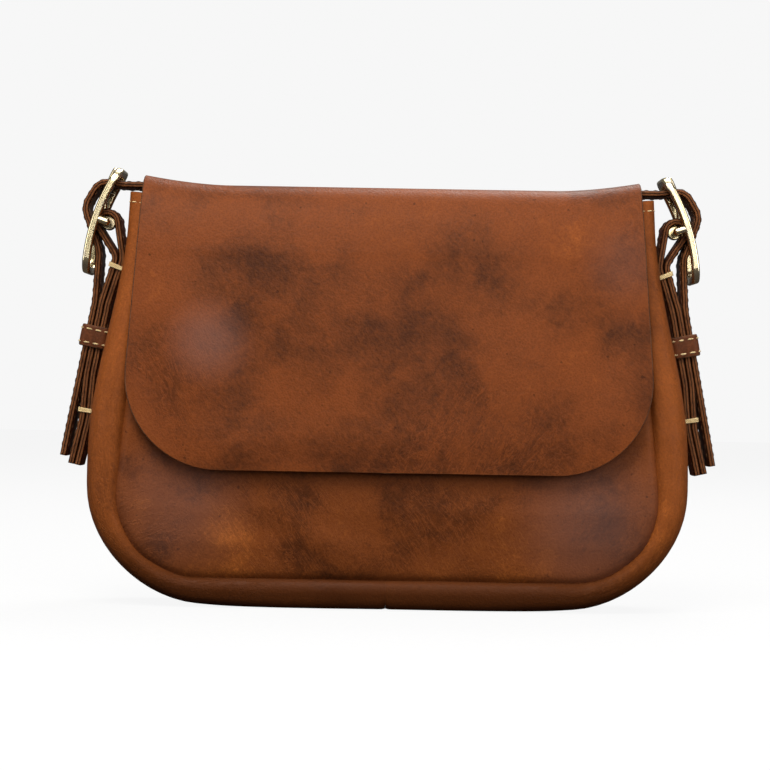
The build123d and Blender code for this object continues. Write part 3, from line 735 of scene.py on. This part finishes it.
centre_y, centre_z, half_w = [], [], []
for x, z in back_rows:
    centre_y.append(float(depth(z, BACK_Y)))
    centre_z.append(z)
    half_w.append(-x)
top_join = -back_rows[-1, 0]
for y, z in turn_over[1:]:
    if y > 10:
        w = top_join + (111.6 - top_join) * (20.8 - y) / 10.8
    elif y > -20:
        w = 111.6 + 0.3 * (10 - y) / 30
    else:
        w = 111.9 + (FLAP_TOP - z) * 0.0605
    centre_y.append(y)
    centre_z.append(z)
    half_w.append(w)
for x, z in flap_rows[1:]:
    centre_y.append(-float(depth(z, FRONT_Y)) - HANG)
    centre_z.append(z)
    half_w.append(-x)
centre_y, centre_z, half_w = np.array(centre_y), np.array(centre_z), np.array(half_w)
hanging = np.arange(len(centre_y)) > len(back_rows) + 12
centre_y = np.where(hanging, blurred(centre_y, 6), centre_y)
cover_run = arc(np.stack([centre_y, centre_z], 1))
split_row = int(np.argmin(np.abs(centre_y) + 100 * (centre_z < 188)))
last_back = len(back_rows)
weight = np.zeros(len(centre_y))
on_top = np.arange(len(centre_y)) >= last_back - 4
weight[on_top] = np.clip(1 - np.clip(-(centre_y[on_top] + 17.0), 0, None) / 16.0, 0, 1)
weight[: last_back + 3] = 0
weight = blurred(weight, 3)
weight = weight * weight * (3 - 2 * weight)
cols = 210
u = np.sin(np.linspace(-1, 1, cols) * math.pi / 2 * 0.90) / math.sin(math.pi / 2 * 0.90)
x = half_w[:, None] * u[None]
z = np.repeat(centre_z[:, None], cols, 1)
y = np.repeat(centre_y[:, None], cols, 1)
rise = np.clip((np.abs(x) - 74) / 38.0, 0, 1)
z = z + weight[:, None] * 4.0 * rise**1.7
is_flap = (np.arange(len(centre_y)) > split_row)[:, None] & (centre_z[:, None] < 182)
is_back = (np.arange(len(centre_y)) < last_back)[:, None]
d_back = edge_distance(x, z, seam_line(0.2, 1.0))
y = y - is_back * (2.3 * np.exp(-((d_back / 1.9) ** 1.3))
    + 1.2 * np.exp(-d_back / 10.0)) * np.clip((184 - z) / 10, 0, 1)
flap_dents = [
    (-86, 118, 16, 30, 1.5, 0.25), (-104, 92, 10, 26, -0.8, 0.2), (-60, 100, 20, 34, -0.9, 0.3), (-30, 140,
    40, 26, 0.8, -0.3), (20, 120, 30, 34, -0.6, 0.1),
    (62, 110, 26, 36, 1.1, -0.25), (96, 120, 12, 40, -0.8, -0.1), (100, 88, 16, 20, 0.7, 0.2), (0, 76, 70,
    10, 0.5, 0.0), (-70, 72, 24, 10, 0.6, 0.2),
]
for dent in flap_dents:
    y = y - is_flap * soft_bump(x, z, *dent) * np.clip((178 - z) / 20, 0, 1)
cover = np.stack([x, y, z], -1)
cover_uv = np.stack([x, np.repeat(cover_run[:, None], cols, 1)], -1)
back_half = sheet(
    "back_leather", cover[: split_row + 1], cover_uv[: split_row + 1], 2.0, [FLAP, FLESH, RAW], rims="lr",
    facing=-1.0
)
flap_half = sheet(
    "flap_leather", cover[split_row:], cover_uv[split_row:], 2.2, [FLAP, FLESH, RAW], rims="lrt", facing=-1.0
)
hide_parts("back_panel", "flap_top")
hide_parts("flap_front")
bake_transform(back_half)
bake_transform(flap_half)

# ---- straps, tabs and keepers ------------------------------------------------------------------------------

BAR = np.array([-129.9, 173.6])
LOOP_R, WRAP_R, PLY = 4.7, 7.75, 2.8
STRAP_W = strap_high[1] - strap_low[1]
TAB_LINE = [(-143.0, 63.0), (-138.2, 84.2), (-136.6, 104.0), (-130.3, 137.0), (-124.0, 157.5)]
STRAP_TOP = FLAP_TOP - 0.2
FLOOR_LAYER = strap_low[2] + PLY / 2


def beside(points, side):
    p = np.array(points, float)
    t = unit(np.gradient(p, axis=0))
    return p + np.stack([-t[:, 1], t[:, 0]], 1) * side


def touch_angle(point, side):
    away = np.array(point) - BAR
    return math.atan2(away[1], away[0]) + side * math.acos(LOOP_R / np.linalg.norm(away))


def circle_arc(radius, first, last, count=40):
    a = np.linspace(first, last, count)
    return np.stack([BAR[0] + radius * np.cos(a), BAR[1] + radius * np.sin(a)], 1)


def raised(line):
    """XZ line to points at Y 0."""
    return np.stack([line[:, 0], np.zeros(len(line)), line[:, 1]], 1)


def flipped(points):
    return points * [-1, 1, 1]


tab_half = PLY / 2 + 0.1
inner_layer, outer_layer = beside(TAB_LINE, -tab_half), beside(TAB_LINE, tab_half)[::-1]
enter, leave = touch_angle(inner_layer[-1], 1), touch_angle(outer_layer[0], -1) + 2 * math.pi
loop = circle_arc(LOOP_R, enter, leave)
tab_path = np.vstack([
    rounded([*inner_layer, loop[0]], [30, 30, 30, 8], 0.8),
    loop[1:-1],
    rounded([loop[-1], *outer_layer], [6, 30, 30, 30], 0.8),
])
tab_path = raised(respaced(tab_path, 0.8))

seg = np.array(TAB_LINE[3]) - np.array(TAB_LINE[2])
up = seg / np.linalg.norm(seg)
out = np.array([-up[1], up[0]])
tail_offset = PLY + 0.1 + 0.15 + PLY / 2
tail_low, tail_high = np.array(TAB_LINE[2]) + out * tail_offset, np.array(TAB_LINE[3]) + out * tail_offset
down = math.radians(200)
leave_at = BAR + WRAP_R * np.array([math.cos(down), math.sin(down)])
leave_dir = np.array([-math.sin(down), math.cos(down)])
outside = [
    (-148.2, 67.0), tail_low, tail_high, leave_at + leave_dir * 10.9, leave_at - leave_dir * 10.3,
    (-133.6, 192.6), (-122.5, STRAP_TOP), (-104.0, STRAP_TOP)
]
inside = [
    (-110, FLOOR_LAYER), (76, FLOOR_LAYER), (76, FLOOR_LAYER + 12), (-76, FLOOR_LAYER + 12),
    (-76, FLOOR_LAYER + 24), (110, FLOOR_LAYER + 24)
]
far_side = [(-p[0], p[1]) for p in outside[::-1]]
strap_path = raised(rounded(
    [*outside, *inside, *far_side],
    [40, 40, 14, 9, 7, 14, 9, 22, 5.99, 5.99, 5.99, 5.99, 22, 9, 14, 7, 9, 14, 40, 40], 1.0
))


def strap_normals(path):
    return unit(np.cross(unit(np.gradient(path, axis=0)), np.array([0.0, 1, 0])))


def edge_rows(path, inset=2.3, skip=3, faces=(1, -1)):
    """Stitch lines down both long sides of a strap, on the faces asked for."""
    n = strap_normals(path)
    rows = []
    for face in faces:
        for y in (-1, 1):
            line = path + [0, y * (STRAP_W / 2 - inset), 0] + n * face * (PLY / 2 + 0.12)
            rows.append((line[skip:-skip], (n * face)[skip:-skip]))
    return rows


def cut_slots(obj, places, length, width):
    """Cuts round-ended slots through a strap: places are (point, along, through)."""
    points, faces, base = [], [], 0
    for at, along, through in places:
        ring = []
        for a in np.linspace(0, 2 * math.pi, 24, endpoint=False):
            end = (length - width) / 2 * (1 if math.cos(a) >= 0 else -1)
            ring.append(at + along * (end + math.cos(a) * width / 2) + np.array([0, 1,
                0]) * math.sin(a) * width / 2)
        ring = np.array(ring)
        points += [ring - through * 3, ring + through * 3]
        faces += [[base + k, base + (k + 1) % 24, base + 24 + (k + 1) % 24, base + 24 + k] for k in range(24)]
        faces += [list(range(base, base + 24))[::-1], list(range(base + 24, base + 48))]
        base += 48
    cutter = make_mesh(
        obj.name + "_cutter", np.vstack(points), faces, np.zeros((base, 2)), [PLIES], smooth=False
    )
    modifier = obj.modifiers.new("slots", "BOOLEAN")
    modifier.object = cutter
    modifier.operation = "DIFFERENCE"
    modifier.solver = "EXACT"
    applied = bpy.data.meshes.new_from_object(obj.evaluated_get(bpy.context.evaluated_depsgraph_get()))
    obj.modifiers.clear()
    obj.data = applied
    bpy.data.objects.remove(cutter)


strap = strip("shoulder_strap_leather", strap_path, STRAP_W, PLY, [STRAP, PLIES])
strap_run = arc(strap_path)
first_part = strap_path[: len(strap_run) // 4]
prong_hole = strap_run[np.argmin(np.hypot(first_part[:, 0] + 129.8, first_part[:, 2] - 192.1))]
slots = []
for step in (-4, -3, -2, -1, 0, 1, 2):
    k = int(np.argmin(np.abs(strap_run - prong_hole - 24.0 * step)))
    along, through = unit(np.gradient(strap_path, axis=0))[k], strap_normals(strap_path)[k]
    slots.append((strap_path[k], along, through))
    slots.append((flipped(strap_path[k]), flipped(along), flipped(through)))
cut_slots(strap, slots, 8.2, 3.2)
strap_stitches = stitches("shoulder_strap_stitches", edge_rows(strap_path), BROWN_THREAD)
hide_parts("shoulder_strap")
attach(strap, "bag")
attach(strap_stitches, "bag")

for side, turn in (("left", lambda p: p), ("right", flipped)):
    path = turn(tab_path)
    tab = strip(f"side_tab_leather_{side}", path, STRAP_W, PLY, [STRAP, PLIES])
    through = turn(np.array([0, 0, 1.0]))
    at = turn(np.array([BAR[0], 0, BAR[1] + LOOP_R]))
    cut_slots(tab, [(at, np.array([1.0, 0, 0]), through)], 15.0, 6.0)
    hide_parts(f"side_tab_{side}")
    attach(tab, "bag")
    rows = stitches(
        f"side_tab_stitches_{side}", edge_rows(path, faces=(-1,) if side == "left" else (1,)), BROWN_THREAD
    )
    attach(rows, "bag")


def keeper_path():
    """Centre line of the keeper's band, round the strap and tab."""
    share = (121.0 - TAB_LINE[2][1]) / (TAB_LINE[3][1] - TAB_LINE[2][1])
    tab_at = np.array(TAB_LINE[2]) + share * seg
    face = PLY + 0.1
    reach_out, reach_in = face + 0.15 + PLY, face
    a, b = (reach_out + reach_in + 0.6) / 2 + 0.8, STRAP_W / 2 + 0.4 + 0.8
    centre = tab_at + out * (reach_out - reach_in) / 2
    ring = []
    for cx, cy, first in (
        (a - 1.8, b - 1.8, 0), (-(a - 1.8), b - 1.8, 90), (-(a - 1.8), -(b - 1.8), 180),
        (a - 1.8, -(b - 1.8), 270)
    ):
        for t in np.linspace(first, first + 90, 8):
            ring.append((cx + 1.8 * math.cos(math.radians(t)), cy + 1.8 * math.sin(math.radians(t))))
    ring = np.array(ring)
    ring = np.vstack([ring, ring[:1]])
    ring = respaced(ring, 0.7)
    points = np.stack([centre[0] + out[0] * ring[:, 0], ring[:, 1], centre[1] + out[1] * ring[:, 0]], 1)
    return points, np.array([up[0], 0, up[1]])


for side in ("left", "right"):
    path, along = keeper_path()
    if side == "right":
        path, along = flipped(path), flipped(along)
    band = strip(
        f"keeper_leather_{side}", path, keeper_high[2] - keeper_low[2] - 2.1, 1.6, [STRAP, RAW], closed=True,
        edge_r=0.7, crown=0.12, side_axis=along
    )
    middle = path.mean(0)
    outward = path - middle
    outward = unit(outward - np.outer(outward @ along, along))
    tangent = unit(np.gradient(path, axis=0))
    square = unit(np.cross(tangent, along))
    square = square * np.sign((square * outward).sum(1, keepdims=True))
    lines = []
    for sign in (-1, 1):
        line = path + along * sign * 3.1 + square * 0.92
        lines.append((line, square))
    rows = stitches(f"keeper_stitches_{side}", lines, THREAD, pitch=4.2, length=3.1, width=0.8, height=0.5)
    for piece in (band, rows):
        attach(piece, f"keeper_{side}")
    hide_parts(f"keeper_{side}")


def bartack(name, low, high, share, flip):
    """Waxed thread wound round both edges of the side tab."""
    low, high = np.array(low), np.array(high)
    u = (high - low) / np.linalg.norm(high - low)
    v = np.array([-u[1], u[0]])
    at = low + share * (high - low)
    reach = PLY + 0.1 + 0.42
    turns = []
    for edge in (-1, 1):
        for k in (-0.66, 0.0, 0.66):
            ring = []
            for q, w in (
                (-1, 0.72), (-1, 0.90), (-0.94, 1.035), (-0.45, 1.06), (0.45, 1.06), (0.94, 1.035), (1, 0.90),
                (1, 0.72)
            ):
                lean = 0.35 * q * (1 if k >= 0 else 0.6)
                xz = at + v * reach * q + u * (k * 0.95 + lean)
                ring.append((xz[0], edge * w * STRAP_W / 2, xz[1]))
            turns.append(smooth_path(ring, 0.5))
    turns = [flipped(t) if flip else t for t in turns]
    return tube(name, turns, 0.40, THREAD)


for side in ("left", "right"):
    flip = side == "right"
    for place, (low, high, share) in (
        ("upper", (TAB_LINE[3], TAB_LINE[4], 0.80)), ("lower", (TAB_LINE[1], TAB_LINE[2], 0.17))
    ):
        wraps = bartack(f"{place}_bartack_thread_{side}", low, high, share, flip)
        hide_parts(f"{place}_bartack_{side}")
        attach(wraps, "bag")

# ---- metal parts keep their CAD shape ----------------------------------------------------------------------


def refinish(node, material):
    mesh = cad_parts[node].data
    for k in range(len(mesh.materials)):
        mesh.materials[k] = material
    if not mesh.materials:
        mesh.materials.append(material)


for side in ("left", "right"):
    refinish(f"buckle_frame_{side}", BRASS)
    refinish(f"prong_{side}", BRASS)
for node in ("snap_socket", "snap_stud"):
    refinish(node, SNAP_METAL)
for node in ("zip_teeth", "zip_slider", "zip_pull"):
    refinish(node, ZIP_METAL)

# ---- inside: lining, pocket, zip tape and the patch behind the snap ----------------------------------------


def flat_cloth(name, table, side, inward, outline_inset, top, thick, material, puff):
    """A lining panel that hangs a little loose inside the leather."""
    line = seam_line(outline_inset, 2.5)
    start = max(int(np.argmax(np.gradient(line[:, 1]) > 0.03)) - 1, 0)
    rows = line[start:]
    rows = rows[rows[:, 1] < top]
    u = np.linspace(-1, 1, 110)
    x = -rows[:, :1] * u[None]
    z = np.repeat(rows[:, 1:], 110, 1)
    d = edge_distance(x, z, line)
    ripple = 0.35 * np.sin(x / 13.0 + z / 31.0) * np.sin(z / 19.0 - x / 47.0) * (1 - np.exp(-d / 12))
    y = depth(z, table) - inward - puff * (1 - np.exp(-d / 14)) * 0.3 + ripple
    y = y - 2.2 * np.exp(-d / 4.0)
    grid = np.stack([x, side * y, z], -1)
    return sheet(
        name, grid, np.stack([x, z], -1), thick, [material, material, material], rims="t",
        facing=1.0 if side < 0 else -1.0
    )


for name, table, side in (("lining_front", FRONT_Y, -1), ("lining_back", BACK_Y, 1)):
    cloth_piece = flat_cloth(f"{name}_cloth", table, side, 2.6, 2.2, 183.0, 0.7, CANVAS, 0.6)
    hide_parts(name)
    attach(cloth_piece, "bag")

pocket_low, pocket_high = box_mm("inner_pocket")
tape_low, tape_high = box_mm("zip_tape")


def patch_on_back(name, low, high, inward, thick, material, corner, sag):
    nx, nz = 90, 50
    z = np.linspace(low[2], high[2], nz)
    rows = []
    for zk in z:
        cut = 0.0
        for edge in (low[2], high[2]):
            gap = corner - abs(zk - edge)
            if gap > 0:
                cut = max(cut, corner - math.sqrt(max(corner**2 - gap**2, 0)))
        rows.append(np.stack([np.linspace(low[0] + cut, high[0] - cut, nx), np.full(nx, zk)], 1))
    rows = np.array(rows)
    x, zz = rows[..., 0], rows[..., 1]
    u, v = (x - low[0]) / (high[0] - low[0]), (zz - low[2]) / (high[2] - low[2])
    y = depth(zz, BACK_Y) - inward - sag * np.sin(u * math.pi) * np.sin(v
        * math.pi) - 0.25 * np.sin(x / 9.0) * v
    grid = np.stack([x, y, zz], -1)
    return sheet(name, grid, rows, thick, [material, material, material], rims="lrtb", facing=1.0)


pocket = patch_on_back("inner_pocket_cloth", pocket_low, pocket_high, 4.9, 0.8, CANVAS, 10.0, 0.7)
zip_band = patch_on_back("zip_tape_woven", tape_low, tape_high, 4.3, 0.6, TAPE, 2.0, 0.0)
for piece, node, finish in (
    (pocket, "inner_pocket", "lining_cloth"), (zip_band, "zip_tape", "zip_tape_cloth")
):
    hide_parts(node)
    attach(piece, "bag")


def border_line(low, high, inset, y_of):
    a, b = low + inset, high - inset
    loop_points = [(a[0], b[2]), (a[0], a[2]), (b[0], a[2]), (b[0], b[2])]
    flat = rounded(loop_points, [9, 9], 1.0)
    line = np.stack([flat[:, 0], [y_of(z) for z in flat[:, 1]], flat[:, 1]], 1)
    return line, np.tile([0.0, -1.0, 0.0], (len(line), 1))


pocket_rows = stitches(
    "inner_pocket_stitches",
    [border_line(pocket_low, pocket_high, 2.5, lambda z: float(depth(z, BACK_Y)) - 4.95)], THREAD, pitch=3.2,
    length=2.3, width=0.45, height=0.35
)
zip_rows = stitches("zip_tape_stitches", [
    (
        np.stack([np.linspace(-73, 73, 60), np.full(60, float(depth(z, BACK_Y)) - 4.35), np.full(60, z)], 1),
        np.tile([0.0, -1, 0], (60, 1))
    ) for z in (tape_low[2] + 1.3, tape_high[2] - 1.3)
], THREAD, pitch=3.2, length=2.3, width=0.45, height=0.35)
for piece in (pocket_rows, zip_rows):
    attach(piece, "bag")

# Leather patch inside the flap, sewn on round its edge, that carries the snap's stud.
patch_low, patch_high = box_mm("snap_patch")
patch_mid = (patch_low + patch_high) / 2
patch_r = (patch_high[0] - patch_low[0]) / 2
rings, spokes = 14, 72
rr = np.linspace(0.02, 1, rings)[:, None] * patch_r
aa = np.linspace(0, 2 * math.pi, spokes + 1)[None]
px, pz = rr * np.cos(aa), patch_mid[2] + rr * np.sin(aa)
py = np.interp(pz, [patch_low[2], patch_high[2]], [patch_low[1], patch_high[1] - 0.85]) + 0.85
py = py + 0.25 * (1 - (rr / patch_r) ** 4)
patch_grid = np.stack([px, py, pz], -1)
snap_patch = sheet(
    "snap_patch_leather", patch_grid, np.stack([px, pz], -1), 0.8, [STRAP, FLESH, RAW], rims="t", facing=-1.0
)
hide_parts("snap_patch")
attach(snap_patch, "flap_front")
ring_at = patch_grid[-3, :, :]
patch_rows = stitches(
    "snap_patch_stitches", [(ring_at, np.tile([0.0, 1, 0.1], (spokes + 1, 1)))], THREAD, pitch=3.0,
    length=2.1, width=0.5, height=0.4
)
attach(patch_rows, "flap_front")

# ---- room, light and camera ------------------------------------------------------------------------------


def area_light(name, place, target, size, power, colour=(1, 1, 1), size_y=None):
    data = bpy.data.lights.new(name, "AREA")
    data.shape = "RECTANGLE"
    data.size = size
    data.size_y = size_y or size
    data.energy = power
    data.color = colour
    obj = bpy.data.objects.new(name, data)
    obj.location = place
    obj.rotation_euler = (Vector(target) - Vector(place)).to_track_quat("-Z", "Y").to_euler()
    obj.visible_camera = False
    bpy.context.scene.collection.objects.link(obj)
    return obj


floor_mesh = bpy.data.meshes.new("floor")
floor_mesh.from_pydata([(-4, -4, 0), (4, -4, 0), (4, 4, 0), (-4, 4, 0)], [], [(0, 1, 2, 3)])
floor = bpy.data.objects.new("floor", floor_mesh)
bpy.context.scene.collection.objects.link(floor)
paper = Surface("pale_paper")
seen = paper.add("ShaderNodeLightPath").outputs["Is Camera Ray"]
tooth = paper.noise(paper.add("ShaderNodeTexCoord").outputs["Object"], 300, 3)
shade = paper.span(tooth, 0.3, 0.7, 0.055, 0.065)
pale = paper.add("ShaderNodeCombineColor", {0: shade, 1: shade, 2: shade}).outputs[0]
paper.set(Base_Color=paper.mix(seen, (0.05, 0.045, 0.042), pale), Roughness=0.95, Emission_Color=(1, 1, 1, 1))
paper.set(Emission_Strength=paper.math("MULTIPLY", seen, 0.90), Specular_IOR_Level=0.0)
floor_mesh.materials.append(paper.material)

world = bpy.data.worlds.new("studio")
bpy.context.scene.world = world
world.use_nodes = True
sky = world.node_tree
background = sky.nodes["Background"]
background.inputs[0].default_value = (1.0, 1.0, 1.0, 1)
direct = sky.nodes.new("ShaderNodeLightPath")
strength = sky.nodes.new("ShaderNodeMapRange")
strength.inputs[3].default_value = 0.14
strength.inputs[4].default_value = 0.93
sky.links.new(direct.outputs["Is Camera Ray"], strength.inputs[0])
sky.links.new(strength.outputs[0], background.inputs[1])

area_light("key", (-0.22, -0.85, 1.15), (0, 0, 0.10), 0.7, 18.5, (1.0, 0.97, 0.93))
area_light("left_fill", (-1.25, -0.85, 0.50), (0, 0, 0.10), 0.7, 3.2, (1.0, 0.98, 0.96))
area_light("right_fill", (1.25, -0.85, 0.50), (0, 0, 0.10), 0.7, 5.6, (1.0, 0.98, 0.96))
area_light("left_window", (-0.62, -0.42, 0.16), (-0.08, 0, 0.09), 0.12, 0.45, (0.80, 0.86, 1.0), 0.3)
area_light("right_window", (0.62, -0.42, 0.16), (0.08, 0, 0.09), 0.12, 0.7, (0.84, 0.88, 1.0), 0.3)
area_light("low_front", (0.12, -1.55, 0.62), (0, 0, 0.05), 0.8, 7, (1.0, 0.98, 0.96))
area_light("back", (0.40, 0.90, 1.45), (0, 0, 0.10), 0.8, 20, (1.0, 0.98, 0.96))
area_light("top", (0.1, 0.15, 0.95), (0, 0, 0.17), 0.5, 2.0)

camera_data = bpy.data.cameras.new("camera")
camera_data.lens = 122.0
camera_data.sensor_width = 36.0
camera = bpy.data.objects.new("camera", camera_data)
camera.location = (-0.0018, -1.2, 0.1015)
camera.rotation_euler = (math.pi / 2, math.radians(-1.0), 0)
bpy.context.scene.collection.objects.link(camera)
bpy.context.scene.camera = camera
bpy.context.scene.view_settings.view_transform = "Standard"
